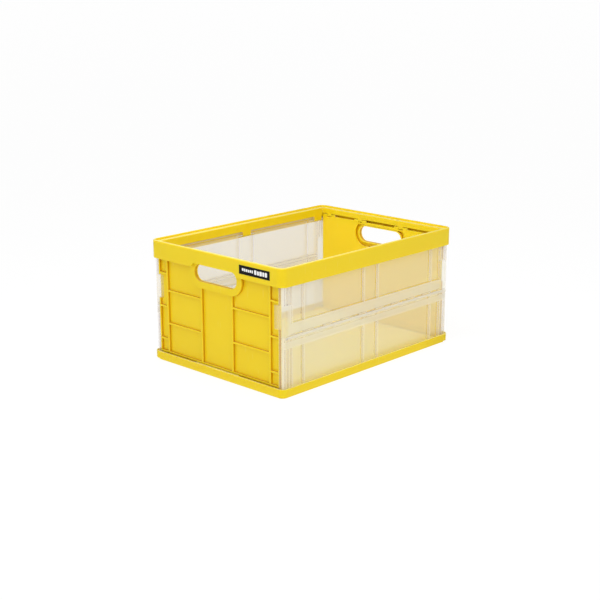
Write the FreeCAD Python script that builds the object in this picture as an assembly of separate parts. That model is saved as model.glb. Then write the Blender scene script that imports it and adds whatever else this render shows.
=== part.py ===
import FreeCAD, Part
import os

# Folding stacking crate: base tray, top frame, two end panels that swing inward and up, and two
# clear long walls that each have a hinge at mid height.  X is across, Y along, Z up.
# The origin is on the ground at the middle of the base.

V = FreeCAD.Vector

# Overall sizes
LENGTH = 530.0
WIDTH = 384.0
HEIGHT = 260.0
CORNER_R = 16.0

# Lengths that joined shapes run into each other, that cuts run past a face, and that count as equal
JOIN = 0.5
BEYOND = 1.0
TOUCH = 1e-6

# Base tray
FOOT_H = 4.5
FOOT_WALL = 3.0
BAND_TOP = 19.5
FLOOR_TOP = 7.5
SIDE_BAND_T = 3.0
FLOOR_RIB_T = 2.5
FLOOR_RIB_LIFT = 1.0
FLOOR_RIBS_ACROSS = 7
FLOOR_RIBS_ALONG = 5
SILL_GAP = 0.8

# Top frame
SKIRT_H = 38.0
SKIRT_T = 3.0
WEB_T = 3.0
INNER_SKIRT_T = 2.4
LIP_W = 4.5
STACK_CLEAR = 1.0

# Long walls
WALL_T = 11.0
WALL_INSET = 4.5
WALL_END_INSET = 5.0
WALL_SKIN_T = 2.5
WALL_RIB_T = 2.2
WALL_CORNER_R = 10.0
CORNER_ROOM = 2.0
WALL_ABOVE_HINGE = 4.5
WALL_BELOW_HINGE = 1.5
TONGUE_ABOVE_HINGE = 8.5
UPPER_RAIL_H = 25.0
LOWER_RAIL_H = 18.75
BELT_T = 1.5
BELT_FROM_HINGE = 7.0
BELT_RIB_FROM_HINGE = 18.0
RIB_FROM_MIDDLE = 22.0
RIB_FROM_END = 60.0
END_RIB_PITCH = 9.0
END_RIB_COUNT = 3
EAR_ABOVE_HINGE = 18.0
EAR_H = 47.0
EAR_LENGTH = 24.0
EAR_WRAP = 11.0
EAR_ROOM = 2.0

# Wall hinges at the base and at the frame
KNUCKLE_R = 3.0
PIN_R = 1.5
PIN_FIT = 0.05
LUG_W = 24.0
BOSS_W = 12.0
LUG_END_INSET = 31.0
HINGE_GAP = 0.5
SWING_GAP = 0.6
FRAME_ROOM = 1.2
SILL_ROOM = 2.4

# Middle hinge of each wall
MID_KNUCKLE_R = 4.0
MID_ROD_R = 1.6
MID_KNUCKLES = 19
MID_ROOT_H = 2.0
MID_ROD_INSET = 1.0

# End panels
PANEL_INSET = 15.0
PANEL_SKIN_T = 3.0
PANEL_RIB_D = 4.5
PANEL_RIB_W = 5.0
PANEL_SIDE_GAP = 1.0
PANEL_BOTTOM_GAP = 0.7
PANEL_KNUCKLE_R = 3.2
PANEL_LUG_W = 12.0
PANEL_LUG_FROM_SIDE = 19.5
PANEL_LUG_FROM_EAR = 28.5
PANEL_BARREL_W = 12.0
INNER_RIB_X = 45.0
OUTER_RIB_X = 150.0
RIB_BOTTOM = 20.0
RIB_PITCH = 35.5
RIB_STEPS = 5
TICK_FROM_HOLE = 20.7
LEVEL_RIB_W = 3.6
EAR_GAP = 0.5

# Hand hole
HOLE_HALF_LENGTH = 62.0
HOLE_HALF_HEIGHT = 18.0
HOLE_CENTRE_BELOW_TOP = 48.3
SURROUND_W = 14.0
SURROUND_PROUD = 6.5
SURROUND_WALL = 2.5
NOTCH_ABOVE_HOLE = 0.8
NOTCH_SPREAD = 2.0
NOTCH_ROUNDING = 0.95

# Label plate on the front skirt
LABEL_W = 84.0
LABEL_H = 18.0
LABEL_T = 0.5
LABEL_X = 117.0
LABEL_BELOW_TOP = 19.0

# Places that follow from the sizes above
HALF_W = WIDTH / 2
HALF_L = LENGTH / 2
SKIRT_BOTTOM = HEIGHT - SKIRT_H
LEDGE_Z = HEIGHT - FOOT_H
WEB_UNDER = LEDGE_Z - WEB_T
WALL_OUT = HALF_W - WALL_INSET
WALL_IN = WALL_OUT - WALL_T
WALL_HALF_L = HALF_L - WALL_END_INSET
SIDE_CAVITY = HALF_W - SKIRT_T
END_CAVITY = HALF_L - SKIRT_T
END_BAND_IN = WALL_HALF_L + SWING_GAP
HINGE_X = WALL_IN + KNUCKLE_R
LOW_Z = FLOOR_TOP + KNUCKLE_R + SWING_GAP
OFFSET = WALL_OUT - HINGE_X
FOLD_DROP = SKIRT_BOTTOM - BAND_TOP - HINGE_GAP
HIGH_Z = LOW_Z + 2 * OFFSET + FOLD_DROP
MID_Z = (LOW_Z + HIGH_Z) / 2
REACH = MID_Z - LOW_Z
FOLD_EDGE_X = HINGE_X - REACH
FOLD_TOP = HIGH_Z + KNUCKLE_R
PANEL_IN = HALF_L - PANEL_INSET
PANEL_SKIN_OUT = PANEL_IN + PANEL_SKIN_T
PANEL_RIB_OUT = PANEL_SKIN_OUT + PANEL_RIB_D
SURROUND_OUT = PANEL_SKIN_OUT + SURROUND_PROUD
PANEL_HALF_W = WALL_IN - PANEL_SIDE_GAP
PANEL_AXIS_Y = PANEL_IN + PANEL_KNUCKLE_R
PANEL_AXIS_Z = FOLD_TOP + SWING_GAP + max(PANEL_RIB_OUT, SURROUND_OUT) - PANEL_AXIS_Y + HINGE_GAP
PANEL_BOTTOM = FLOOR_TOP + PANEL_BOTTOM_GAP
PANEL_TOP = PANEL_AXIS_Z - 2 * HINGE_GAP
TONGUE_TOP = HIGH_Z + TONGUE_ABOVE_HINGE
SIDE_INNER_SKIRT_Z = TONGUE_TOP + FRAME_ROOM
END_INNER_SKIRT_Z = PANEL_AXIS_Z + PANEL_KNUCKLE_R + FRAME_ROOM
LUG_Y = (LUG_END_INSET - HALF_L, 0.0, HALF_L - LUG_END_INSET)
EAR_Z = MID_Z + EAR_ABOVE_HINGE
EAR_FOLD_X = HINGE_X - (HIGH_Z - EAR_Z)
PANEL_LUG_X = (EAR_FOLD_X - PANEL_LUG_FROM_EAR, PANEL_HALF_W - PANEL_LUG_FROM_SIDE)
HOLE_Z = HEIGHT - HOLE_CENTRE_BELOW_TOP
SURROUND_TOP = PANEL_AXIS_Z - PANEL_KNUCKLE_R - FRAME_ROOM
NOTCH_TOP = HOLE_Z + HOLE_HALF_HEIGHT + NOTCH_ABOVE_HOLE


def box(x, y, z):
    """A box from three (low, high) pairs."""
    size = (x[1] - x[0], y[1] - y[0], z[1] - z[0])
    return Part.makeBox(size[0], size[1], size[2], V(x[0], y[0], z[0]))


def fused(shapes):
    return shapes[0].multiFuse(shapes[1:]).removeSplitter() if len(shapes) > 1 else shapes[0]


def rounded_plate(half_x, half_y, radius, z0, z1):
    """A rounded rectangle about the origin, extruded from z0 to z1."""
    body = box((-half_x, half_x), (-half_y, half_y), (z0, z1))
    upright = [e for e in body.Edges if abs(e.Vertexes[0].Z - e.Vertexes[-1].Z) > TOUCH]
    return body.makeFillet(radius, upright)


def rod_y(x, z, radius, y0, y1):
    return Part.makeCylinder(radius, y1 - y0, V(x, y0, z), V(0, 1, 0))


def rod_x(y, z, radius, x0, x1):
    return Part.makeCylinder(radius, x1 - x0, V(x0, y, z), V(1, 0, 0))


def stadium(half_length, half_height, z, y0, y1):
    """A slot shape in the XZ plane, extruded along Y."""
    flat = half_length - half_height
    ends = [Part.makeCylinder(half_height, y1 - y0, V(s * flat, y0, z), V(0, 1, 0)) for s in (-1, 1)]
    return fused([box((-flat, flat), (y0, y1), (z - half_height, z + half_height))] + ends)


def mirrored_x(shape):
    return shape.mirror(V(0, 0, 0), V(1, 0, 0))


def mirrored_y(shape):
    return shape.mirror(V(0, 0, 0), V(0, 1, 0))


def both_sides(shapes):
    return shapes + [mirrored_x(s) for s in shapes]


def both_ends(shapes):
    return shapes + [mirrored_y(s) for s in shapes]


def lug_span(y):
    return (y - LUG_W / 2, y + LUG_W / 2)


def panel_lug_span(x):
    return (x - PANEL_LUG_W / 2, x + PANEL_LUG_W / 2)


# Base tray

def floor_ribs():
    half_x = HALF_W - LIP_W - STACK_CLEAR - FOOT_WALL
    half_y = HALF_L - LIP_W - STACK_CLEAR - FOOT_WALL
    z = (FLOOR_RIB_LIFT, FOOT_H)
    ribs = []
    for i in range(FLOOR_RIBS_ACROSS):
        y = -half_y + 2 * half_y * (i + 1) / (FLOOR_RIBS_ACROSS + 1)
        ribs.append(box((-half_x, half_x), (y - FLOOR_RIB_T / 2, y + FLOOR_RIB_T / 2), z))
    for i in range(FLOOR_RIBS_ALONG):
        x = -half_x + 2 * half_x * (i + 1) / (FLOOR_RIBS_ALONG + 1)
        ribs.append(box((x - FLOOR_RIB_T / 2, x + FLOOR_RIB_T / 2), (-half_y, half_y), z))
    return ribs


def base_lugs():
    lugs = []
    for y in LUG_Y:
        span = lug_span(y)
        lugs.append(box((WALL_IN, HINGE_X + KNUCKLE_R), span, (FLOOR_TOP, LOW_Z)))
        lugs.append(rod_y(HINGE_X, LOW_Z, KNUCKLE_R, *span))
    return lugs


def base_tray():
    inset = LIP_W + STACK_CLEAR
    body = rounded_plate(HALF_W, HALF_L, CORNER_R, FOOT_H, BAND_TOP)
    inner_r = WALL_CORNER_R - CORNER_ROOM
    body = body.cut(rounded_plate(HALF_W - SIDE_BAND_T, END_BAND_IN, inner_r, FLOOR_TOP, HEIGHT))
    foot = rounded_plate(HALF_W - inset, HALF_L - inset, CORNER_R - inset, 0, FOOT_H)
    core_r = CORNER_R - inset - FOOT_WALL
    core = rounded_plate(HALF_W - inset - FOOT_WALL, HALF_L - inset - FOOT_WALL, core_r, -BEYOND, FOOT_H)
    sill_half = FOLD_EDGE_X - MID_KNUCKLE_R - SILL_ROOM
    sill_y = (-END_BAND_IN - SWING_GAP, -PANEL_RIB_OUT - SILL_GAP)
    sill = box((-sill_half, sill_half), sill_y, (FLOOR_TOP, BAND_TOP))
    body = fused([body, foot.cut(core)] + floor_ribs() + both_ends([sill]) + both_sides(base_lugs()))
    bores = [rod_y(HINGE_X, LOW_Z, PIN_R + PIN_FIT, *lug_span(y)) for y in LUG_Y]
    return body.cut(both_sides(bores))


# Top frame

def frame_side_lugs():
    lugs = []
    for y in LUG_Y:
        span = lug_span(y)
        lugs.append(box((WALL_IN, HINGE_X + KNUCKLE_R), span, (HIGH_Z, WEB_UNDER)))
        lugs.append(rod_y(HINGE_X, HIGH_Z, KNUCKLE_R, *span))
    return lugs


def frame_end_lugs():
    lugs = []
    y = -PANEL_AXIS_Y
    r = PANEL_KNUCKLE_R
    for x in PANEL_LUG_X:
        span = panel_lug_span(x)
        lugs.append(box(span, (y - r, y + r), (PANEL_AXIS_Z, WEB_UNDER)))
        lugs.append(rod_x(y, PANEL_AXIS_Z, r, *span))
    return lugs


def skirt_notch():
    """The arched cut in the skirt that bares the top of the hand hole."""
    half = HOLE_HALF_LENGTH + NOTCH_SPREAD
    rise = NOTCH_TOP - SKIRT_BOTTOM
    y = (-HALF_L - BEYOND, -END_CAVITY + BEYOND)
    notch = box((-half, half), y, (SKIRT_BOTTOM - BEYOND, NOTCH_TOP))
    tops = [e for e in notch.Edges
            if abs(e.CenterOfMass.z - NOTCH_TOP) < TOUCH and abs(abs(e.CenterOfMass.x) - half) < TOUCH]
    return notch.makeFillet(NOTCH_ROUNDING * rise, tops)


def label_box(grow=0.0):
    z = HEIGHT - LABEL_BELOW_TOP
    x_span = (LABEL_X - LABEL_W / 2 - grow, LABEL_X + LABEL_W / 2 + grow)
    y_span = (-HALF_L - 2 * grow, -HALF_L + LABEL_T)
    return box(x_span, y_span, (z - LABEL_H / 2 - grow, z + LABEL_H / 2 + grow))


def top_frame():
    body = rounded_plate(HALF_W, HALF_L, CORNER_R, SKIRT_BOTTOM, HEIGHT)
    cavity = rounded_plate(SIDE_CAVITY, END_CAVITY, CORNER_R - SKIRT_T, SKIRT_BOTTOM, WEB_UNDER)
    recess = rounded_plate(HALF_W - LIP_W, HALF_L - LIP_W, CORNER_R - LIP_W, LEDGE_Z, HEIGHT + BEYOND)
    mouth = box((-WALL_IN, WALL_IN), (-PANEL_IN, PANEL_IN), (0, HEIGHT + BEYOND))
    body = body.cut([cavity, recess, mouth])
    side_skirt = box((WALL_IN, WALL_IN + INNER_SKIRT_T), (-PANEL_IN, PANEL_IN),
                     (SIDE_INNER_SKIRT_Z, WEB_UNDER))
    end_skirt = box((-WALL_IN - INNER_SKIRT_T, WALL_IN + INNER_SKIRT_T),
                    (-PANEL_IN - INNER_SKIRT_T, -PANEL_IN), (END_INNER_SKIRT_Z, WEB_UNDER))
    end_lugs = both_sides(frame_end_lugs())
    body = fused([body] + both_sides([side_skirt] + frame_side_lugs()) + both_ends([end_skirt] + end_lugs))
    bores = both_sides([rod_y(HINGE_X, HIGH_Z, PIN_R + PIN_FIT, *lug_span(y)) for y in LUG_Y])
    end_bores = [rod_x(-PANEL_AXIS_Y, PANEL_AXIS_Z, PIN_R + PIN_FIT, *panel_lug_span(x)) for x in PANEL_LUG_X]
    cuts = bores + both_ends(both_sides(end_bores) + [skirt_notch()])
    return body.cut(cuts + [label_box(grow=PIN_FIT)])


# Long walls, built on the right (+X) side

def outline(z0, z1):
    """The wall's full block, with the two outer upright corners rounded."""
    block = box((WALL_IN, WALL_OUT), (-WALL_HALF_L, WALL_HALF_L), (z0, z1))
    ends = [e for e in block.Edges if abs(abs(e.CenterOfMass.y) - WALL_HALF_L) < TOUCH]
    upright = [e for e in ends if abs(e.CenterOfMass.x - WALL_OUT) < TOUCH]
    return block.makeFillet(WALL_CORNER_R, upright)


def top_corners_rounded(z1):
    """A block whose upper end corners are rounded, so that the folding wall clears the frame's corners."""
    block = box((0, HALF_W), (-WALL_HALF_L, WALL_HALF_L), (0, z1))
    tops = [e for e in block.Edges
            if abs(abs(e.CenterOfMass.y) - WALL_HALF_L) < TOUCH and abs(e.CenterOfMass.z - z1) < TOUCH]
    return block.makeFillet(WALL_ABOVE_HINGE, tops)


def rib_places():
    places = [RIB_FROM_MIDDLE, WALL_HALF_L - RIB_FROM_END]
    places += [WALL_HALF_L - END_RIB_PITCH * (i + 1) for i in range(END_RIB_COUNT)]
    return places + [-p for p in places]


def wall_grid(z0, z1, rails, belt):
    """Inner skin, upright ribs, end posts, level rails and the belt beside the middle hinge."""
    y = (-WALL_HALF_L, WALL_HALF_L)
    pieces = [box((WALL_IN, WALL_IN + WALL_SKIN_T), y, (z0, z1))]
    depth = (WALL_IN + WALL_SKIN_T / 2, WALL_OUT)
    for place in rib_places():
        pieces.append(box(depth, (place - WALL_RIB_T / 2, place + WALL_RIB_T / 2), (z0, z1)))
    pieces += both_ends([box(depth, (-WALL_HALF_L, -WALL_HALF_L + WALL_CORNER_R / 2), (z0, z1))])
    pieces += [box(depth, y, rail) for rail in rails]
    pieces.append(box((WALL_OUT - BELT_T, WALL_OUT), y, belt))
    return fused(pieces).common(outline(z0, z1))


def wall_bosses(z, low, high, pocket_top):
    """Thick bosses each side of a lug, and the pockets that clear the lug itself."""
    bosses = []
    cuts = []
    for y in LUG_Y:
        half = LUG_W / 2 + HINGE_GAP
        x = (WALL_IN, HINGE_X + KNUCKLE_R)
        bosses.append(box(x, (y - half - BOSS_W, y + half + BOSS_W), (low, high)))
        cuts.append(box((WALL_IN - BEYOND, x[1] + SWING_GAP), (y - half, y + half), (low, pocket_top)))
        cuts.append(rod_y(HINGE_X, z, PIN_R + PIN_FIT, y - half - BOSS_W, y + half + BOSS_W))
    return bosses, cuts


def mid_knuckle_spans(first):
    pitch = 2 * (WALL_HALF_L - WALL_CORNER_R) / MID_KNUCKLES
    start = -WALL_HALF_L + WALL_CORNER_R
    gap = HINGE_GAP / 2
    return [(start + i * pitch + gap, start + (i + 1) * pitch - gap) for i in range(first, MID_KNUCKLES, 2)]


def mid_hinge(spans, other_spans, side):
    """Knuckles with their roots on one half (side +1 is the upper half), and what they need cut away."""
    root = (MID_Z, MID_Z + side * (MID_KNUCKLE_R + MID_ROOT_H))
    root = (min(root), max(root))
    knuckles = []
    for span in spans:
        knuckles.append(rod_y(WALL_OUT, MID_Z, MID_KNUCKLE_R, *span))
        knuckles.append(box((WALL_OUT - MID_KNUCKLE_R, WALL_OUT), span, root))
    clear_r = MID_KNUCKLE_R + HINGE_GAP
    gap = HINGE_GAP / 2
    cuts = [rod_y(WALL_OUT, MID_Z, clear_r, a - gap, b + gap) for a, b in other_spans]
    cuts.append(rod_y(WALL_OUT, MID_Z, MID_ROD_R + PIN_FIT, -WALL_HALF_L, WALL_HALF_L))
    return knuckles, cuts


def ears():
    """Solid blocks at both ends that wrap round in front of the end panels and stop them."""
    top = EAR_Z + EAR_H
    z = (MID_Z + PIN_FIT, top)
    block = box((WALL_IN, WALL_OUT), (-WALL_HALF_L, -WALL_HALF_L + EAR_LENGTH), z).common(outline(*z))
    wrap_y = (-WALL_HALF_L, -PANEL_SKIN_OUT - EAR_GAP)
    wrap = box((WALL_IN - EAR_WRAP, WALL_IN + BEYOND), wrap_y, (EAR_Z, top))
    return both_ends([block, wrap])


def tongue(z0):
    """The thin top edge of the skin, which closes the view between wall and frame."""
    clear = WALL_CORNER_R + TONGUE_ABOVE_HINGE
    half = WALL_HALF_L - clear
    return box((WALL_IN, WALL_IN + WALL_SKIN_T), (-half, half), (z0, TONGUE_TOP))


def side_upper():
    z0 = MID_Z + PIN_FIT
    z1 = HIGH_Z + WALL_ABOVE_HINGE
    rail = (z0 + UPPER_RAIL_H, z0 + UPPER_RAIL_H + WALL_RIB_T)
    belt_rib = (z0 + BELT_RIB_FROM_HINGE, z0 + BELT_RIB_FROM_HINGE + WALL_RIB_T)
    rails = [(z0, z0 + WALL_RIB_T), belt_rib, rail, (z1 - WALL_RIB_T, z1)]
    low = HIGH_Z - KNUCKLE_R - SWING_GAP
    bosses, boss_cuts = wall_bosses(HIGH_Z, low, z1, TONGUE_TOP)
    knuckles, mid_cuts = mid_hinge(mid_knuckle_spans(0), mid_knuckle_spans(1), 1)
    grid = wall_grid(z0, z1, rails, (z0 + BELT_FROM_HINGE, rail[1])).common(top_corners_rounded(z1))
    parts = [grid, tongue(z1 - WALL_RIB_T)] + bosses + ears() + knuckles
    return fused(parts).cut(boss_cuts + mid_cuts)


def side_lower():
    z0 = LOW_Z - WALL_BELOW_HINGE
    z1 = MID_Z - PIN_FIT
    rail = (z1 - LOWER_RAIL_H - WALL_RIB_T, z1 - LOWER_RAIL_H)
    rails = [(z0, z0 + WALL_RIB_T), rail, (z1 - WALL_RIB_T, z1)]
    high = LOW_Z + KNUCKLE_R + SWING_GAP
    bosses, boss_cuts = wall_bosses(LOW_Z, z0, high, high)
    knuckles, mid_cuts = mid_hinge(mid_knuckle_spans(1), mid_knuckle_spans(0), -1)
    grid = wall_grid(z0, z1, rails, (rail[0], z1 - BELT_FROM_HINGE))
    return fused([grid] + bosses + knuckles).cut(boss_cuts + mid_cuts)


def wall_pins(z):
    half = LUG_W / 2 + BOSS_W
    return [rod_y(HINGE_X, z, PIN_R, y - half, y + half) for y in LUG_Y]


def mid_rod():
    half = WALL_HALF_L - WALL_CORNER_R - MID_ROD_INSET
    return rod_y(WALL_OUT, MID_Z, MID_ROD_R, -half, half)


# End panels, built at the front (-Y) end

def panel_ribs():
    y = (-PANEL_RIB_OUT, -PANEL_SKIN_OUT + JOIN)
    half = PANEL_RIB_W / 2
    top = SURROUND_TOP
    ear_z = (EAR_Z - EAR_ROOM, EAR_Z + EAR_H + EAR_ROOM)
    ear_room = box((PANEL_HALF_W - EAR_WRAP, PANEL_HALF_W + BEYOND), (-HALF_L, HALF_L), ear_z)
    ribs = [box((OUTER_RIB_X - half, OUTER_RIB_X + half), y, (RIB_BOTTOM, top)),
            box((INNER_RIB_X - half, INNER_RIB_X + half), y,
                (RIB_BOTTOM, HOLE_Z - HOLE_HALF_HEIGHT - SURROUND_W + half))]
    for step in range(RIB_STEPS):
        level = HOLE_Z - TICK_FROM_HOLE - step * RIB_PITCH
        z = (level - LEVEL_RIB_W / 2, level + LEVEL_RIB_W / 2)
        outside = step % 2 == 0
        x = (OUTER_RIB_X, PANEL_HALF_W) if outside else (INNER_RIB_X, OUTER_RIB_X)
        ribs.append(box(x, y, z).cut(ear_room))
    border = box((PANEL_HALF_W - PANEL_SKIN_T, PANEL_HALF_W), y, (RIB_BOTTOM, top))
    ribs.append(border.cut(ear_room))
    foot_rib = box((0, PANEL_HALF_W), y, (RIB_BOTTOM, RIB_BOTTOM + PANEL_SKIN_T))
    return both_sides(ribs + [foot_rib])


def panel_barrels():
    """Hinge barrels along the top edge, with gaps where the folded wall ears lie."""
    y = -PANEL_AXIS_Y
    r = PANEL_KNUCKLE_R
    spans = []
    for x in PANEL_LUG_X:
        inner, outer = panel_lug_span(x)
        spans.append((inner - HINGE_GAP - PANEL_BARREL_W, inner - HINGE_GAP))
        spans.append((outer + HINGE_GAP, outer + HINGE_GAP + PANEL_BARREL_W))
    barrels = []
    for span in spans:
        barrels.append(rod_x(y, PANEL_AXIS_Z, r, *span))
        barrels.append(box(span, (y - r, -PANEL_IN), (PANEL_AXIS_Z - 2 * r, PANEL_AXIS_Z)))
    return both_sides(barrels)


def hand_hole_surround():
    ring = stadium(HOLE_HALF_LENGTH + SURROUND_W, HOLE_HALF_HEIGHT + SURROUND_W, HOLE_Z,
                   -SURROUND_OUT, -PANEL_SKIN_OUT + JOIN)
    return ring.common(box((-HALF_W, HALF_W), (-HALF_L, 0), (0, SURROUND_TOP)))


def hand_hole_cuts():
    """The hole itself and the shallow dish behind its surround, which leaves a lip round the hole."""
    hole = stadium(HOLE_HALF_LENGTH, HOLE_HALF_HEIGHT, HOLE_Z, -HALF_L, 0)
    grow = SURROUND_W - SURROUND_WALL
    dish = stadium(HOLE_HALF_LENGTH + grow, HOLE_HALF_HEIGHT + grow, HOLE_Z,
                   -SURROUND_OUT + SURROUND_WALL, 0)
    dish = dish.common(box((-HALF_W, HALF_W), (-HALF_L, 0), (0, SURROUND_TOP - SURROUND_WALL)))
    lip = stadium(HOLE_HALF_LENGTH + SURROUND_WALL, HOLE_HALF_HEIGHT + SURROUND_WALL, HOLE_Z,
                  -HALF_L, -PANEL_IN)
    return [hole, dish.cut(lip)]


def end_panel():
    skin = box((-PANEL_HALF_W, PANEL_HALF_W), (-PANEL_SKIN_OUT, -PANEL_IN), (PANEL_BOTTOM, PANEL_TOP))
    body = fused([skin] + panel_ribs() + panel_barrels() + [hand_hole_surround()])
    cuts = hand_hole_cuts()
    y = (-HALF_L, -PANEL_IN + BEYOND)
    lug_floor = PANEL_AXIS_Z - PANEL_KNUCKLE_R - SWING_GAP
    for x in PANEL_LUG_X:
        inner, outer = panel_lug_span(x)
        pocket = box((inner - HINGE_GAP, outer + HINGE_GAP), y, (lug_floor, HEIGHT))
        reach = PANEL_BARREL_W + HINGE_GAP
        bore = rod_x(-PANEL_AXIS_Y, PANEL_AXIS_Z, PIN_R + PIN_FIT, inner - reach, outer + reach)
        cuts += both_sides([pocket, bore])
    return body.cut(cuts)


def panel_pins():
    reach = PANEL_LUG_W / 2 + PANEL_BARREL_W
    return both_sides([rod_x(-PANEL_AXIS_Y, PANEL_AXIS_Z, PIN_R, x - reach, x + reach) for x in PANEL_LUG_X])


def write(name, shape):
    if not shape.isValid():
        raise ValueError("bad shape: " + name)
    shape.exportStep(os.path.join("parts", name + ".step"))
    low = shape.BoundBox
    print("%-26s solids %d  volume %.1f cm3  z %.2f..%.2f"
          % (name, len(shape.Solids), shape.Volume / 1000, low.ZMin, low.ZMax))


def main():
    os.makedirs("parts", exist_ok=True)
    write("base_tray", base_tray())
    write("top_frame", top_frame())
    panel = end_panel()
    pins = Part.makeCompound(panel_pins())
    write("end_panel_front", panel)
    write("end_panel_rear", mirrored_y(panel))
    write("end_hinge_pins_front", pins)
    write("end_hinge_pins_rear", mirrored_y(pins))
    halves = {"upper": side_upper(), "lower": side_lower()}
    rows = {"upper": Part.makeCompound(wall_pins(HIGH_Z)), "lower": Part.makeCompound(wall_pins(LOW_Z))}
    for level in ("upper", "lower"):
        write("side_right_" + level, halves[level])
        write("side_left_" + level, mirrored_x(halves[level]))
        write("wall_pins_right_" + level, rows[level])
        write("wall_pins_left_" + level, mirrored_x(rows[level]))
    write("mid_hinge_rod_right", mid_rod())
    write("mid_hinge_rod_left", mirrored_x(mid_rod()))
    write("label_plate", label_box())
    print("wall hinges at x %.2f, z %.2f and %.2f; middle hinge x %.2f, z %.2f"
          % (HINGE_X, LOW_Z, HIGH_Z, WALL_OUT, MID_Z))
    print("end panel hinge at y %.2f, z %.2f" % (PANEL_AXIS_Y, PANEL_AXIS_Z))


main()
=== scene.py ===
import math

import bmesh
import bpy
from bpy.props import FloatProperty, FloatVectorProperty, IntProperty, PointerProperty
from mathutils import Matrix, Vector


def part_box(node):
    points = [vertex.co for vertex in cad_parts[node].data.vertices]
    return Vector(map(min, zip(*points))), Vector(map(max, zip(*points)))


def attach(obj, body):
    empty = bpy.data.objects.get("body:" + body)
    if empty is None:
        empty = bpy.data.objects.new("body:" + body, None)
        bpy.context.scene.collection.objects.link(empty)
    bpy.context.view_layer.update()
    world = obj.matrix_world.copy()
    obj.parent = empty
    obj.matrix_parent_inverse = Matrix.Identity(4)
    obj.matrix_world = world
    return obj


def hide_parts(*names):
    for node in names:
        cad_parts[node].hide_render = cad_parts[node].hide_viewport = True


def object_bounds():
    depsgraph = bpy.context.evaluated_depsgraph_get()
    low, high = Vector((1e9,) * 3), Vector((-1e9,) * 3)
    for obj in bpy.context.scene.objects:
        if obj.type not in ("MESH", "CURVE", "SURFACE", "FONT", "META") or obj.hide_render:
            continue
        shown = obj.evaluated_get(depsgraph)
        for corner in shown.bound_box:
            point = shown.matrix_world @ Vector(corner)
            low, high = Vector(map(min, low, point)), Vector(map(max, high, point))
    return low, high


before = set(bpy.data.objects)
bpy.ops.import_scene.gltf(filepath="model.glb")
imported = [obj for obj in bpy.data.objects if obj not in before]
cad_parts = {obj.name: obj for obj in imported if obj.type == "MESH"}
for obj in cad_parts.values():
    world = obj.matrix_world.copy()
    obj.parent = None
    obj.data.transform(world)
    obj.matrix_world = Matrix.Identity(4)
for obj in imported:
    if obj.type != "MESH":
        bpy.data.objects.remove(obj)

bl_info = {
    "name": "Folding Crate Maker",
    "version": (1, 0, 0),
    "blender": (4, 5, 0),
    "location": "3D View > Sidebar > Crate",
    "description": "Builds the moulded pieces, finishes and studio of a folding stacking crate",
    "category": "Object",
}

CAD_LOW, CAD_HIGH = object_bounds()
CENTRE = (CAD_LOW + CAD_HIGH) / 2
MM = 0.001

WALL_NODES = ("side_right_upper", "side_right_lower", "side_left_upper", "side_left_lower")
ROD_NODES = ("mid_hinge_rod_right", "mid_hinge_rod_left")
PIN_NODES = (
    "wall_pins_right_upper", "wall_pins_left_upper", "wall_pins_right_lower", "wall_pins_left_lower",
    "end_hinge_pins_front", "end_hinge_pins_rear",
)

# How faces are told apart: limits on a normal's share, and places
UPRIGHT_LIMIT = 0.05
LEVEL_LIMIT = 0.95
SIDE_LIMIT = 0.5
OUTLINE_BAND = 17 * MM
ABOVE_FOOT = 5 * MM
LIP_DEPTH = 4.4 * MM
SAME_HEIGHT = 0.1 * MM

# Colours that lie over the yellow: scuffs, a painted highlight on faces that look up, painted shade at the
# roots of ribs, and dust
SCUFF_COLOUR = (0.96, 0.82, 0.30, 1)
TOP_SHEEN_COLOUR = (0.98, 0.86, 0.34, 1)
RIB_SHADE_COLOUR = (0.60, 0.28, 0.004, 1)
DUST_COLOUR = (0.80, 0.76, 0.66, 1)
YELLOW_ROUGHNESS = 0.36

# Roughness of the clear walls' grained outer faces, polished inner faces and rib sides
GRAINED_ROUGHNESS = 0.22
POLISHED_ROUGHNESS = 0.12
EDGE_ROUGHNESS = 0.16

# Label plate: height of the print, corner of the plate, and corner of a bar as a share of its width
PRINT_RISE = 0.08 * MM
PLATE_CORNER = 1.0 * MM
BAR_CORNER = 0.3

# Soft lights: name, place and aim from the middle of the crate, size, and the setting for the power
SOFTBOXES = (
    ("key_softbox", (1.5, -1.3, 1.6), (0, 0, 0), (1.8, 1.8), "key"),
    ("top_softbox", (-0.02, -0.22, 0.8), (-0.05, 0.15, 0), (0.5, 0.5), "top"),
    ("fill_softbox", (-0.9, -2.2, 1.1), (0, 0, 0), (1.6, 1.2), "fill"),
)

# Floor and camera
FLOOR_REACH = 260.0
FLOOR_GAP = 0.2 * MM
FLOOR_GREY = 0.12
FLOOR_GLOW = 0.90
SENSOR_WIDTH = 36.0
CAMERA_SHIFT = (-0.0078, -0.0137)
VIEW_DEPTH = 900.0
CLEAR_LAYERS = 48

# Printed bars on the label, each as (start, width, base, height) in shares of the plate
LABEL_BARS = (
    (0.10, 0.055, 0.40, 0.30), (0.17, 0.035, 0.36, 0.34), (0.22, 0.060, 0.38, 0.30),
    (0.295, 0.045, 0.36, 0.30), (0.355, 0.050, 0.38, 0.30), (0.42, 0.040, 0.36, 0.32),
    (0.50, 0.075, 0.28, 0.50), (0.595, 0.060, 0.28, 0.44), (0.67, 0.080, 0.26, 0.50),
    (0.765, 0.060, 0.28, 0.46), (0.84, 0.075, 0.26, 0.50),
)


# Sizes and colours that a user would change

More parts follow.
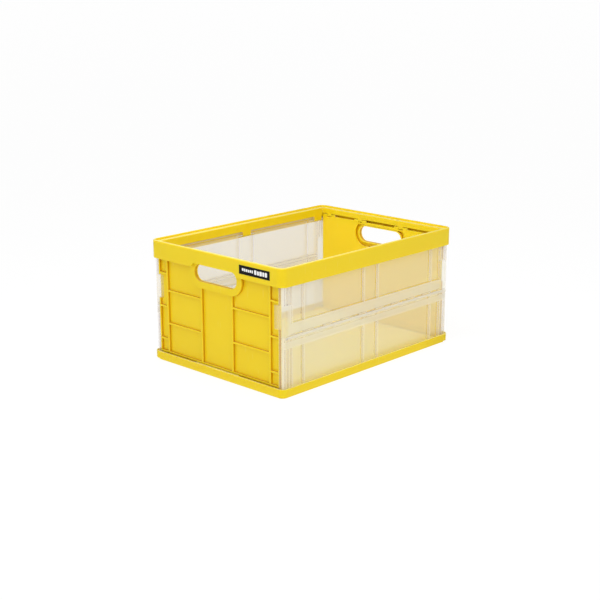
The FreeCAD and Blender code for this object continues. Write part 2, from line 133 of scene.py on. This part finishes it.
class CrateFinish(bpy.types.PropertyGroup):
    yellow: FloatVectorProperty(
        name="Yellow", description="Pigment of the base, frame and end panels",
        subtype="COLOR", size=3, min=0, max=1, default=(0.86, 0.635, 0.010))
    # The clear walls use lit and shaded copies of one plastic: the outer faces get a bright milky tint as
    # painted light, the inner faces a dark grey tint as painted shade, and the rib sides a tint in between
    clear_outside_lit: FloatVectorProperty(
        name="Clear outside", description="Milky tint of the clear walls' grained outer faces",
        subtype="COLOR", size=3, min=0, max=1, default=(1.0, 0.95, 0.74))
    clear_inside_shaded: FloatVectorProperty(
        name="Clear inside", description="Grey tint of the clear walls' polished inner faces",
        subtype="COLOR", size=3, min=0, max=1, default=(0.20, 0.17, 0.18))
    clear_edge_half_shaded: FloatVectorProperty(
        name="Clear edge", description="Tint of the sides of the clear walls' ribs",
        subtype="COLOR", size=3, min=0, max=1, default=(0.74, 0.68, 0.62))
    outside_haze: FloatProperty(
        name="Outside haze", description="How much a grained clear face hides what is behind it",
        subtype="FACTOR", min=0, max=1, default=0.39)
    inside_haze: FloatProperty(
        name="Inside haze", description="How much a polished clear face hides what is behind it",
        subtype="FACTOR", min=0, max=1, default=0.20)
    edge_haze: FloatProperty(
        name="Edge haze", description="How much the side of a clear rib hides what is behind it",
        subtype="FACTOR", min=0, max=1, default=0.22)
    rod: FloatVectorProperty(
        name="Rod", description="Natural plastic of the hinge rods and pins",
        subtype="COLOR", size=3, min=0, max=1, default=(0.78, 0.76, 0.72))
    label: FloatVectorProperty(
        name="Label", description="Ground colour of the label plate",
        subtype="COLOR", size=3, min=0, max=1, default=(0.006, 0.006, 0.007))
    label_print: FloatVectorProperty(
        name="Label print", description="Colour of the bars printed on the label",
        subtype="COLOR", size=3, min=0, max=1, default=(0.85, 0.85, 0.84))
    grain_size: FloatProperty(
        name="Grain size", description="Width of the moulded surface grain",
        unit="LENGTH", min=0.0001, default=0.0009, precision=5)


class CrateEdges(bpy.types.PropertyGroup):
    moulded: FloatProperty(
        name="Moulded edge", description="Rounding of the yellow pieces' edges",
        unit="LENGTH", min=0, default=0.0006, precision=5)
    clear: FloatProperty(
        name="Clear edge", description="Rounding of the clear walls' edges",
        unit="LENGTH", min=0, default=0.0004, precision=5)
    steps: IntProperty(
        name="Edge steps", description="Segments across a rounded edge", min=1, max=6, default=2)


class CrateRim(bpy.types.PropertyGroup):
    crown: FloatProperty(
        name="Rim crown", description="Rounding of the rim's outer top edge",
        unit="LENGTH", min=0, default=0.0028, precision=5)
    inner: FloatProperty(
        name="Lip edge", description="Rounding of the lip's inner edge and the skirt's lower edge",
        unit="LENGTH", min=0, default=0.0009, precision=5)
    foot: FloatProperty(
        name="Base edge", description="Rounding of the base band's outer edges",
        unit="LENGTH", min=0, default=0.0013, precision=5)


class CrateStudio(bpy.types.PropertyGroup):
    azimuth: FloatProperty(
        name="Azimuth", description="Direction that the camera looks from",
        subtype="ANGLE", default=math.radians(43.29))
    elevation: FloatProperty(
        name="Elevation", description="Height of the camera above the horizon",
        subtype="ANGLE", default=math.radians(15.0))
    distance: FloatProperty(
        name="Distance", description="Camera to the middle of the crate", unit="LENGTH", default=2.554)
    lens: FloatProperty(name="Lens", description="Focal length in millimetres", default=71.10)
    world: FloatProperty(name="Sky", description="Strength of the even white light", default=0.50)
    key: FloatProperty(name="Key", description="Power of the large soft light", unit="POWER", default=24.0)
    fill: FloatProperty(name="Fill", description="Power of the side light", unit="POWER", default=3.0)
    top: FloatProperty(
        name="Top", description="Power of the light above the crate", unit="POWER", default=2.6)


# Node groups

def new_group(name, inputs, outputs):
    """An empty shader node group with float inputs (name, default) and outputs (name, socket type)."""
    group = bpy.data.node_groups.new(name, "ShaderNodeTree")
    for label, kind, default in inputs:
        socket = group.interface.new_socket(label, in_out="INPUT", socket_type=kind)
        socket.default_value = default
    for label, kind in outputs:
        group.interface.new_socket(label, in_out="OUTPUT", socket_type=kind)
    start = group.nodes.new("NodeGroupInput")
    end = group.nodes.new("NodeGroupOutput")
    return group, start, end


def add(tree, kind, **values):
    """A node with its settings and unlinked input values."""
    node = tree.nodes.new(kind)
    for key, value in values.items():
        if key in node.inputs:
            node.inputs[key].default_value = value
        else:
            setattr(node, key, value)
    return node


def math_node(tree, operation, first, second, clamp=False):
    node = tree.nodes.new("ShaderNodeMath")
    node.operation = operation
    node.use_clamp = clamp
    for socket, value in zip(node.inputs, (first, second)):
        if isinstance(value, (int, float)):
            socket.default_value = value
        else:
            tree.links.new(value, socket)
    return node.outputs[0]


def ramp(tree, source, low, high, to_low, to_high):
    node = add(tree, "ShaderNodeMapRange", clamp=True)
    tree.links.new(source, node.inputs["Value"])
    for name, value in zip(("From Min", "From Max", "To Min", "To Max"), (low, high, to_low, to_high)):
        node.inputs[name].default_value = value
    return node.outputs["Result"]


def noise(tree, place, scale, detail=2.0, rough=0.5):
    node = add(tree, "ShaderNodeTexNoise", Detail=detail, Roughness=rough)
    if isinstance(scale, (int, float)):
        node.inputs["Scale"].default_value = scale
    else:
        tree.links.new(scale, node.inputs["Scale"])
    tree.links.new(place, node.inputs["Vector"])
    return node.outputs["Fac"]


def moulded_grain():
    """Fine spark-worn texture of a mould: a height for Bump and a small change of roughness."""
    group, start, end = new_group(
        "MouldedGrain",
        [("Size", "NodeSocketFloat", 0.0009), ("Gloss change", "NodeSocketFloat", 0.08)],
        [("Height", "NodeSocketFloat"), ("Roughness", "NodeSocketFloat")])
    place = group.nodes.new("ShaderNodeTexCoord").outputs["Object"]
    scale = math_node(group, "DIVIDE", 1.0, start.outputs["Size"])
    fine = noise(group, place, scale, detail=2.0)
    wide = noise(group, place, 14.0, detail=3.0)
    group.links.new(fine, end.inputs["Height"])
    change = math_node(group, "SUBTRACT", wide, 0.5)
    change = math_node(group, "MULTIPLY", change, start.outputs["Gloss change"])
    group.links.new(change, end.inputs["Roughness"])
    return group


def pigment_drift():
    """Slow lighter and deeper drifts of pigment, with faint flow streaks along the crate."""
    group, start, end = new_group(
        "PigmentDrift",
        [("Colour", "NodeSocketColor", (1, 1, 1, 1)), ("Amount", "NodeSocketFloat", 0.05)],
        [("Colour", "NodeSocketColor")])
    place = group.nodes.new("ShaderNodeTexCoord").outputs["Object"]
    stretch = add(group, "ShaderNodeMapping", Scale=(9.0, 2.5, 22.0))
    group.links.new(place, stretch.inputs["Vector"])
    cloud = noise(group, place, 5.0, detail=3.0)
    streak = noise(group, stretch.outputs["Vector"], 1.0, detail=2.0)
    both = math_node(group, "ADD", cloud, streak)
    both = math_node(group, "SUBTRACT", both, 1.0)
    both = math_node(group, "MULTIPLY", both, start.outputs["Amount"])
    value = math_node(group, "ADD", both, 1.0)
    shade = group.nodes.new("ShaderNodeHueSaturation")
    group.links.new(start.outputs["Colour"], shade.inputs["Color"])
    group.links.new(value, shade.inputs["Value"])
    group.links.new(shade.outputs["Color"], end.inputs["Colour"])
    return group


def handling_scuffs():
    """Short fine scuffs where the crate slides and is gripped."""
    group, start, end = new_group(
        "HandlingScuffs",
        [("Density", "NodeSocketFloat", 0.3)],
        [("Mask", "NodeSocketFloat")])
    place = group.nodes.new("ShaderNodeTexCoord").outputs["Object"]
    turn = add(group, "ShaderNodeMapping", Scale=(260.0, 260.0, 30.0))
    group.links.new(place, turn.inputs["Vector"])
    hairs = noise(group, turn.outputs["Vector"], 1.0, detail=1.0)
    hairs = ramp(group, hairs, 0.66, 0.74, 0.0, 1.0)
    zones = ramp(group, noise(group, place, 9.0, detail=2.0), 0.48, 0.66, 0.0, 1.0)
    mask = math_node(group, "MULTIPLY", hairs, zones)
    mask = math_node(group, "MULTIPLY", mask, start.outputs["Density"], clamp=True)
    group.links.new(mask, end.inputs["Mask"])
    return group


def settled_dust():
    """A faint film of dust on faces that look up."""
    group, start, end = new_group(
        "SettledDust",
        [("Amount", "NodeSocketFloat", 0.08)],
        [("Mask", "NodeSocketFloat")])
    normal = group.nodes.new("ShaderNodeNewGeometry").outputs["Normal"]
    up = group.nodes.new("ShaderNodeSeparateXYZ")
    group.links.new(normal, up.inputs["Vector"])
    facing = ramp(group, up.outputs["Z"], 0.6, 1.0, 0.0, 1.0)
    place = group.nodes.new("ShaderNodeTexCoord").outputs["Object"]
    patch = ramp(group, noise(group, place, 26.0, detail=4.0), 0.35, 0.75, 0.3, 1.0)
    mask = math_node(group, "MULTIPLY", facing, patch)
    mask = math_node(group, "MULTIPLY", mask, start.outputs["Amount"], clamp=True)
    group.links.new(mask, end.inputs["Mask"])
    return group


def painted_rib_shade():
    """Mask for painted shade: faces that look sideways, from the root of the raised ribs part way up their
    sides, strongest at the root.
    """
    group, start, end = new_group(
        "RibDepth",
        [("Root", "NodeSocketFloat", 0.253), ("Height", "NodeSocketFloat", 0.0045)],
        [("Mask", "NodeSocketFloat")])
    coordinates = group.nodes.new("ShaderNodeTexCoord")
    place = group.nodes.new("ShaderNodeSeparateXYZ")
    group.links.new(coordinates.outputs["Object"], place.inputs["Vector"])
    facing = group.nodes.new("ShaderNodeSeparateXYZ")
    group.links.new(coordinates.outputs["Normal"], facing.inputs["Vector"])
    out = math_node(group, "ABSOLUTE", place.outputs["Y"], 0.0)
    rise = math_node(group, "SUBTRACT", out, start.outputs["Root"])
    rise = math_node(group, "DIVIDE", rise, start.outputs["Height"])
    low = ramp(group, rise, 0.2, 1.3, 1.0, 0.25)
    outside = ramp(group, rise, -0.12, 0.02, 0.0, 1.0)
    sideways = ramp(group, math_node(group, "ABSOLUTE", facing.outputs["Y"], 0.0), 0.45, 0.9, 1.0, 0.0)
    mask = math_node(group, "MULTIPLY", low, sideways)
    mask = math_node(group, "MULTIPLY", mask, outside, clamp=True)
    group.links.new(mask, end.inputs["Mask"])
    return group


def painted_top_sheen():
    """Painted highlight: a paler, lighter colour on lips and edges that look up, where they catch the
    light from above.
    """
    group, start, end = new_group(
        "UpwardFade",
        [("Amount", "NodeSocketFloat", 0.5)],
        [("Mask", "NodeSocketFloat")])
    coordinates = group.nodes.new("ShaderNodeTexCoord")
    facing = group.nodes.new("ShaderNodeSeparateXYZ")
    group.links.new(coordinates.outputs["Normal"], facing.inputs["Vector"])
    mask = ramp(group, facing.outputs["Z"], 0.30, 0.85, 0.0, 1.0)
    mask = math_node(group, "MULTIPLY", mask, start.outputs["Amount"], clamp=True)
    group.links.new(mask, end.inputs["Mask"])
    return group


def group_node(tree, name, maker, **values):
    """Places the named group, which is built the first time it is asked for."""
    node = tree.nodes.new("ShaderNodeGroup")
    node.node_tree = bpy.data.node_groups.get(name) or maker()
    for key, value in values.items():
        node.inputs[key.replace("_", " ")].default_value = value
    return node


# Materials

def new_material(name, **shader_values):
    material = bpy.data.materials.new(name)
    material.use_nodes = True
    shader = material.node_tree.nodes["Principled BSDF"]
    for key, value in shader_values.items():
        shader.inputs[key.replace("_", " ")].default_value = value
    return material, material.node_tree, shader


def mix_colour(tree, mask, under, over):
    node = add(tree, "ShaderNodeMix", data_type="RGBA")
    tree.links.new(mask, node.inputs[0])
    tree.links.new(under, node.inputs[6])
    node.inputs[7].default_value = over
    return node.outputs[2]


def bump(tree, shader, height, strength, distance):
    node = add(tree, "ShaderNodeBump", Strength=strength, Distance=distance)
    tree.links.new(height, node.inputs["Height"])
    tree.links.new(node.outputs["Normal"], shader.inputs["Normal"])


def yellow_plastic(name="yellow_polypropylene", ribs=0.0, sheen=0.55):
    """Yellow polypropylene.

    ribs is how strongly painted shade darkens the sides of raised ribs near their roots, and sheen is
    how strong the painted highlight on faces that look up is.
    """
    finish = bpy.context.scene.crate_finish
    found = bpy.data.materials.get(name)
    if found:
        return found
    material, tree, shader = new_material(name, IOR=1.49, Specular_IOR_Level=0.2)
    shader.inputs["Subsurface Weight"].default_value = 0.5
    shader.inputs["Subsurface Radius"].default_value = (0.006, 0.005, 0.0008)
    shader.inputs["Subsurface Scale"].default_value = 1.0
    pigment = group_node(tree, "PigmentDrift", pigment_drift, Amount=0.05)
    pigment.inputs["Colour"].default_value = (*finish.yellow, 1)
    grain = group_node(tree, "MouldedGrain", moulded_grain, Size=finish.grain_size, Gloss_change=0.10)
    scuffs = group_node(tree, "HandlingScuffs", handling_scuffs, Density=0.25)
    dust = group_node(tree, "SettledDust", settled_dust, Amount=0.05)
    # Painted highlight: faces that look up are mixed towards a pale yellow, standing in for the light they
    # catch from above
    top_sheen = group_node(tree, "UpwardFade", painted_top_sheen, Amount=sheen)
    colour = mix_colour(tree, scuffs.outputs["Mask"], pigment.outputs["Colour"], SCUFF_COLOUR)
    colour = mix_colour(tree, top_sheen.outputs["Mask"], colour, TOP_SHEEN_COLOUR)
    # Painted shade: the sides of raised ribs are darkened towards a deep orange near their roots, where
    # shade falls
    if ribs:
        rib_shade_node = group_node(tree, "RibDepth", painted_rib_shade)
        roots = math_node(tree, "MULTIPLY", rib_shade_node.outputs["Mask"], ribs)
        colour = mix_colour(tree, roots, colour, RIB_SHADE_COLOUR)
    colour = mix_colour(tree, dust.outputs["Mask"], colour, DUST_COLOUR)
    tree.links.new(colour, shader.inputs["Base Color"])
    rough = math_node(tree, "ADD", grain.outputs["Roughness"], YELLOW_ROUGHNESS)
    rise = math_node(tree, "MULTIPLY", scuffs.outputs["Mask"], 0.25)
    rough = math_node(tree, "ADD", rough, rise, clamp=True)
    tree.links.new(rough, shader.inputs["Roughness"])
    bump(tree, shader, grain.outputs["Height"], 0.12, 0.00025)
    return material


def clear_plastic(name, tint, haze, roughness):
    """Clear polypropylene with the tint, haze and roughness of one kind of face."""
    found = bpy.data.materials.get(name)
    if found:
        return found
    material, tree, shader = new_material(name, IOR=1.49)
    pigment = group_node(tree, "PigmentDrift", pigment_drift, Amount=0.04)
    pigment.inputs["Colour"].default_value = (*tint, 1)
    grain = group_node(tree, "MouldedGrain", moulded_grain, Size=0.004, Gloss_change=0.08)
    tree.links.new(pigment.outputs["Colour"], shader.inputs["Base Color"])
    rough = math_node(tree, "ADD", grain.outputs["Roughness"], roughness)
    tree.links.new(rough, shader.inputs["Roughness"])
    shader.inputs["Alpha"].default_value = haze
    bump(tree, shader, grain.outputs["Height"], 0.05, 0.0004)
    return material


def rod_plastic():
    finish = bpy.context.scene.crate_finish
    found = bpy.data.materials.get("natural_rod_plastic")
    if found:
        return found
    material, tree, shader = new_material("natural_rod_plastic", IOR=1.48)
    pigment = group_node(tree, "PigmentDrift", pigment_drift, Amount=0.06)
    pigment.inputs["Colour"].default_value = (*finish.rod, 1)
    grain = group_node(tree, "MouldedGrain", moulded_grain, Size=0.0006, Gloss_change=0.06)
    tree.links.new(pigment.outputs["Colour"], shader.inputs["Base Color"])
    tree.links.new(math_node(tree, "ADD", grain.outputs["Roughness"], 0.4), shader.inputs["Roughness"])
    shader.inputs["Alpha"].default_value = 0.5
    bump(tree, shader, grain.outputs["Height"], 0.1, 0.0002)
    return material


def label_plastic():
    finish = bpy.context.scene.crate_finish
    found = bpy.data.materials.get("label_black")
    if found:
        return found
    material, tree, shader = new_material("label_black", IOR=1.5, Specular_IOR_Level=0.08)
    pigment = group_node(tree, "PigmentDrift", pigment_drift, Amount=0.2)
    pigment.inputs["Colour"].default_value = (*finish.label, 1)
    grain = group_node(tree, "MouldedGrain", moulded_grain, Size=0.0005, Gloss_change=0.1)
    tree.links.new(pigment.outputs["Colour"], shader.inputs["Base Color"])
    tree.links.new(math_node(tree, "ADD", grain.outputs["Roughness"], 0.45), shader.inputs["Roughness"])
    bump(tree, shader, grain.outputs["Height"], 0.08, 0.0002)
    return material


def label_print():
    finish = bpy.context.scene.crate_finish
    found = bpy.data.materials.get("label_white_print")
    if found:
        return found
    material, tree, shader = new_material("label_white_print", IOR=1.5)
    pigment = group_node(tree, "PigmentDrift", pigment_drift, Amount=0.1)
    pigment.inputs["Colour"].default_value = (*finish.label_print, 1)
    grain = group_node(tree, "MouldedGrain", moulded_grain, Size=0.0004, Gloss_change=0.1)
    tree.links.new(pigment.outputs["Colour"], shader.inputs["Base Color"])
    tree.links.new(math_node(tree, "ADD", grain.outputs["Roughness"], 0.5), shader.inputs["Roughness"])
    return material


# Mesh helpers

def bmesh_object(name, bm, material, body):
    mesh = bpy.data.meshes.new(name)
    bm.to_mesh(mesh)
    bm.free()
    piece = bpy.data.objects.new(name, mesh)
    bpy.context.scene.collection.objects.link(piece)
    mesh.materials.append(material)
    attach(piece, body)
    return piece


def cleaned(node):
    """The node's mesh as a bmesh with its flat faces joined."""
    bm = bmesh.new()
    bm.from_mesh(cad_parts[node].data)
    bmesh.ops.remove_doubles(bm, verts=bm.verts, dist=0.00001)
    bmesh.ops.dissolve_limit(
        bm, angle_limit=math.radians(0.6), use_dissolve_boundaries=False, verts=bm.verts, edges=bm.edges)
    return bm


def rounded(piece, width, steps, angle=30.0):
    """Rounds the piece's sharp edges and keeps its flats flat."""
    edge = piece.modifiers.new("edge_rounding", "BEVEL")
    edge.width = width
    edge.segments = steps
    edge.limit_method = "ANGLE"
    edge.angle_limit = math.radians(angle)
    edge.use_clamp_overlap = True
    edge.harden_normals = False
    for polygon in piece.data.polygons:
        polygon.use_smooth = True
    normals = piece.modifiers.new("flat_normals", "WEIGHTED_NORMAL")
    normals.keep_sharp = True
    normals.weight = 90
    return piece


def outer_face(face, half_x, half_y):
    """True for an upright face that lies on the outline, seen from outside."""
    middle = face.calc_center_median()
    outward = face.normal.x * middle.x + face.normal.y * middle.y > 0
    near_edge = abs(middle.x) > half_x - OUTLINE_BAND or abs(middle.y) > half_y - OUTLINE_BAND
    return abs(face.normal.z) < UPRIGHT_LIMIT and outward and near_edge


def edges_between(bm, first, second):
    """Edges with one face that passes the first test and one that passes the second."""
    found = []
    for edge in bm.edges:
        if len(edge.link_faces) == 2:
            a, b = edge.link_faces
            if (first(a) and second(b)) or (first(b) and second(a)):
                found.append(edge)
    return found


def ease(bm, edges, width, steps):
    """Rounds the given edges to the given width."""
    bmesh.ops.bevel(bm, geom=edges, offset=width, offset_type="OFFSET", segments=steps, profile=0.5,
                    affect="EDGES", clamp_overlap=True)


def moulded_node(node, name, material, body, width, steps):
    piece = bmesh_object(name, cleaned(node), material, body)
    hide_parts(node)
    return rounded(piece, width, steps)


# Operators, one for each piece or group of like pieces

class CRATE_OT_base_tray(bpy.types.Operator):
    """Makes the yellow base tray"""
    bl_idname = "crate.base_tray"
    bl_label = "Base Tray"

    def execute(self, context):
        edges = context.scene.crate_edges
        bm = cleaned("base_tray")
        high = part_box("base_tray")[1]

        def is_side(face):
            return outer_face(face, high.x, high.y) and face.calc_center_median().z > ABOVE_FOOT

        def is_flat(face):
            return abs(face.normal.z) > LEVEL_LIMIT

        ease(bm, edges_between(bm, is_side, is_flat), context.scene.crate_rim.foot, 3)
        piece = bmesh_object("base_tray_shell", bm, yellow_plastic(), "crate")
        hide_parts("base_tray")
        rounded(piece, edges.moulded, edges.steps)
        return {"FINISHED"}


class CRATE_OT_top_frame(bpy.types.Operator):
    """Makes the yellow top frame with its lip, ledge and skirt"""
    bl_idname = "crate.top_frame"
    bl_label = "Top Frame"

    def execute(self, context):
        edges = context.scene.crate_edges
        rim = context.scene.crate_rim
        bm = cleaned("top_frame")
        low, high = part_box("top_frame")

        def is_skirt(face):
            return outer_face(face, high.x, high.y)

        def is_top(face):
            return face.normal.z > LEVEL_LIMIT and face.calc_center_median().z > high.z - SAME_HEIGHT

        def is_under(face):
            return face.normal.z < -LEVEL_LIMIT and face.calc_center_median().z < low.z + SAME_HEIGHT

        def is_lip_inside(face):
            upright = abs(face.normal.z) < UPRIGHT_LIMIT
            in_lip = high.z - LIP_DEPTH < face.calc_center_median().z
            return upright and in_lip and not outer_face(face, high.x, high.y)

        ease(bm, edges_between(bm, is_skirt, is_top), rim.crown, 4)
        ease(bm, edges_between(bm, is_skirt, is_under), rim.inner, 2)
        ease(bm, edges_between(bm, is_lip_inside, is_top), rim.inner, 2)
        piece = bmesh_object("top_frame_shell", bm, yellow_plastic(), "crate")
        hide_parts("top_frame")
        rounded(piece, edges.moulded, edges.steps)
        return {"FINISHED"}


class CRATE_OT_end_panels(bpy.types.Operator):
    """Makes the two yellow end panels with their hand holes"""
    bl_idname = "crate.end_panels"
    bl_label = "End Panels"

    def execute(self, context):
        edges = context.scene.crate_edges
        for end in ("front", "rear"):
            # End panels: painted shade at the rib roots, and a weaker painted highlight on faces that look
            # up
            moulded_node("end_panel_" + end, "end_panel_shell_" + end,
                         yellow_plastic("yellow_ribbed_panel", ribs=0.95, sheen=0.1), end + "_end",
                         edges.moulded, edges.steps)
        return {"FINISHED"}


class CRATE_OT_long_walls(bpy.types.Operator):
    """Makes the four clear halves of the long walls"""
    bl_idname = "crate.long_walls"
    bl_label = "Long Walls"

    def execute(self, context):
        edges = context.scene.crate_edges
        finish = context.scene.crate_finish
        # Lit and shaded copies of the clear plastic: outer faces bright as painted light, inner faces dark
        # grey as painted shade, rib sides in between; the copies also differ in haze and roughness
        grained = clear_plastic(
            "clear_grained", finish.clear_outside_lit, finish.outside_haze, GRAINED_ROUGHNESS)
        polished = clear_plastic(
            "clear_polished", finish.clear_inside_shaded, finish.inside_haze, POLISHED_ROUGHNESS)
        edged = clear_plastic("clear_edged", finish.clear_edge_half_shaded, finish.edge_haze, EDGE_ROUGHNESS)
        for node in WALL_NODES:
            piece = moulded_node(node, node.replace("side_", "wall_"), grained, "crate",
                                 edges.clear, 1)
            piece.visible_shadow = False
            piece.visible_diffuse = False
            piece.data.materials.append(polished)
            piece.data.materials.append(edged)
            # Each face takes the painted light, painted shade or in-between copy by the way it faces
            for face in piece.data.polygons:
                outward = face.normal.x if face.center.x > 0 else -face.normal.x
                if outward < -SIDE_LIMIT:
                    face.material_index = 1
                elif outward < SIDE_LIMIT:
                    face.material_index = 2
        return {"FINISHED"}


class CRATE_OT_hinge_pins(bpy.types.Operator):
    """Finishes the hinge rods and pins"""
    bl_idname = "crate.hinge_pins"
    bl_label = "Hinge Rods and Pins"

    def execute(self, context):
        for node in ROD_NODES + PIN_NODES:
            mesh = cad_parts[node].data
            mesh.materials.clear()
            mesh.materials.append(rod_plastic())
        return {"FINISHED"}


def rounded_bar(bm, x_span, z_span, y_span, radius, material_index, steps=5):
    """An upright plate with rounded corners; y_span is its (back, front)."""
    corners = ((x_span[1] - radius, z_span[1] - radius, 0), (x_span[0] + radius, z_span[1] - radius, 1),
               (x_span[0] + radius, z_span[0] + radius, 2), (x_span[1] - radius, z_span[0] + radius, 3))
    outline = []
    for x, z, quarter in corners:
        for step in range(steps + 1):
            turn = math.pi / 2 * (quarter + step / steps)
            outline.append((x + radius * math.cos(turn), z + radius * math.sin(turn)))
    back = [bm.verts.new((x, y_span[0], z)) for x, z in outline]
    front = [bm.verts.new((x, y_span[1], z)) for x, z in outline]
    faces = [bm.faces.new(front), bm.faces.new(list(reversed(back)))]
    for i in range(len(outline)):
        j = (i + 1) % len(outline)
        faces.append(bm.faces.new((front[i], back[i], back[j], front[j])))
    for face in faces:
        face.material_index = material_index


class CRATE_OT_label(bpy.types.Operator):
    """Makes the black label plate and the plain bars printed on it"""
    bl_idname = "crate.label"
    bl_label = "Label Plate"

    def execute(self, context):
        low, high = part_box("label_plate")
        bm = bmesh.new()
        plate_front = low.y + PRINT_RISE
        rounded_bar(bm, (low.x, high.x), (low.z, high.z), (high.y, plate_front), PLATE_CORNER, 0)
        length = high.x - low.x
        height = high.z - low.z
        for start, width, base, rise in LABEL_BARS:
            x = low.x + start * length
            z = low.z + base * height
            bar_width = width * length
            bar_height = rise * height
            radius = BAR_CORNER * min(bar_width, bar_height)
            rounded_bar(bm, (x, x + bar_width), (z, z + bar_height), (plate_front, low.y), radius, 1)
        bmesh.ops.recalc_face_normals(bm, faces=bm.faces)
        piece = bmesh_object("label_plate_printed", bm, label_plastic(), "crate")
        piece.data.materials.append(label_print())
        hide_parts("label_plate")
        return {"FINISHED"}


def soft_light(name, place, target, size, power):
    data = bpy.data.lights.new(name, "AREA")
    data.shape = "RECTANGLE"
    data.size, data.size_y = size
    data.energy = power
    light = bpy.data.objects.new(name, data)
    light.location = place
    light.rotation_mode = "QUATERNION"
    light.rotation_quaternion = (target - place).to_track_quat("-Z", "Y")
    bpy.context.scene.collection.objects.link(light)


class CRATE_OT_studio(bpy.types.Operator):
    """Sets up the pale floor, the soft lights and the camera"""
    bl_idname = "crate.studio"
    bl_label = "Studio"

    def execute(self, context):
        scene = context.scene
        studio = scene.crate_studio
        floor_mesh = bpy.data.meshes.new("studio_floor")
        signs = ((-1, -1), (1, -1), (1, 1), (-1, 1))
        corners = [(x * FLOOR_REACH, y * FLOOR_REACH, 0) for x, y in signs]
        floor_mesh.from_pydata(corners, [], [(0, 1, 2, 3)])
        floor = bpy.data.objects.new("studio_floor", floor_mesh)
        floor.location.z = CAD_LOW.z - FLOOR_GAP
        scene.collection.objects.link(floor)
        material, _, shader = new_material("studio_floor", Roughness=0.8)
        shader.inputs["Base Color"].default_value = (FLOOR_GREY, FLOOR_GREY, FLOOR_GREY, 1)
        shader.inputs["Specular IOR Level"].default_value = 0.2
        shader.inputs["Emission Color"].default_value = (1, 1, 1, 1)
        shader.inputs["Emission Strength"].default_value = FLOOR_GLOW
        floor_mesh.materials.append(material)

        world = bpy.data.worlds.new("studio_sky")
        scene.world = world
        world.use_nodes = True
        sky = world.node_tree.nodes["Background"]
        sky.inputs["Color"].default_value = (1, 1, 1, 1)
        sky.inputs["Strength"].default_value = studio.world
        for name, place, aim, size, power in SOFTBOXES:
            soft_light(name, CENTRE + Vector(place), CENTRE + Vector(aim), size, getattr(studio, power))

        turn, rise = studio.azimuth, studio.elevation
        back = Vector((math.sin(turn) * math.cos(rise), -math.cos(turn) * math.cos(rise), math.sin(rise)))
        data = bpy.data.cameras.new("studio_camera")
        data.lens = studio.lens
        data.sensor_width = SENSOR_WIDTH
        data.shift_x, data.shift_y = CAMERA_SHIFT
        data.clip_end = VIEW_DEPTH
        camera = bpy.data.objects.new("studio_camera", data)
        camera.location = CENTRE + back * studio.distance
        camera.rotation_mode = "QUATERNION"
        camera.rotation_quaternion = (-back).to_track_quat("-Z", "Y")
        scene.collection.objects.link(camera)
        scene.camera = camera
        scene.view_settings.view_transform = "Standard"
        scene.cycles.transparent_max_bounces = CLEAR_LAYERS
        return {"FINISHED"}


STEPS = (
    CRATE_OT_base_tray, CRATE_OT_top_frame, CRATE_OT_end_panels, CRATE_OT_long_walls,
    CRATE_OT_hinge_pins, CRATE_OT_label, CRATE_OT_studio,
)


class CRATE_PT_maker(bpy.types.Panel):
    """Lists the crate's pieces and their settings"""
    bl_label = "Folding Crate"
    bl_idname = "CRATE_PT_maker"
    bl_space_type = "VIEW_3D"
    bl_region_type = "UI"
    bl_category = "Crate"

    def draw(self, context):
        scene = context.scene
        for settings in (scene.crate_finish, scene.crate_edges, scene.crate_rim, scene.crate_studio):
            box = self.layout.box()
            for name in settings.bl_rna.properties.keys():
                if name not in ("rna_type", "name"):
                    box.prop(settings, name)
        for step in STEPS:
            self.layout.operator(step.bl_idname)


CLASSES = (CrateFinish, CrateEdges, CrateRim, CrateStudio) + STEPS + (CRATE_PT_maker,)


def register():
    for item in CLASSES:
        bpy.utils.register_class(item)
    bpy.types.Scene.crate_finish = PointerProperty(type=CrateFinish)
    bpy.types.Scene.crate_edges = PointerProperty(type=CrateEdges)
    bpy.types.Scene.crate_rim = PointerProperty(type=CrateRim)
    bpy.types.Scene.crate_studio = PointerProperty(type=CrateStudio)


def unregister():
    del bpy.types.Scene.crate_studio
    del bpy.types.Scene.crate_rim
    del bpy.types.Scene.crate_edges
    del bpy.types.Scene.crate_finish
    for item in reversed(CLASSES):
        bpy.utils.unregister_class(item)


def main():
    register()
    for step in STEPS:
        group, name = step.bl_idname.split(".")
        getattr(getattr(bpy.ops, group), name)()


if __name__ == "__main__":
    main()
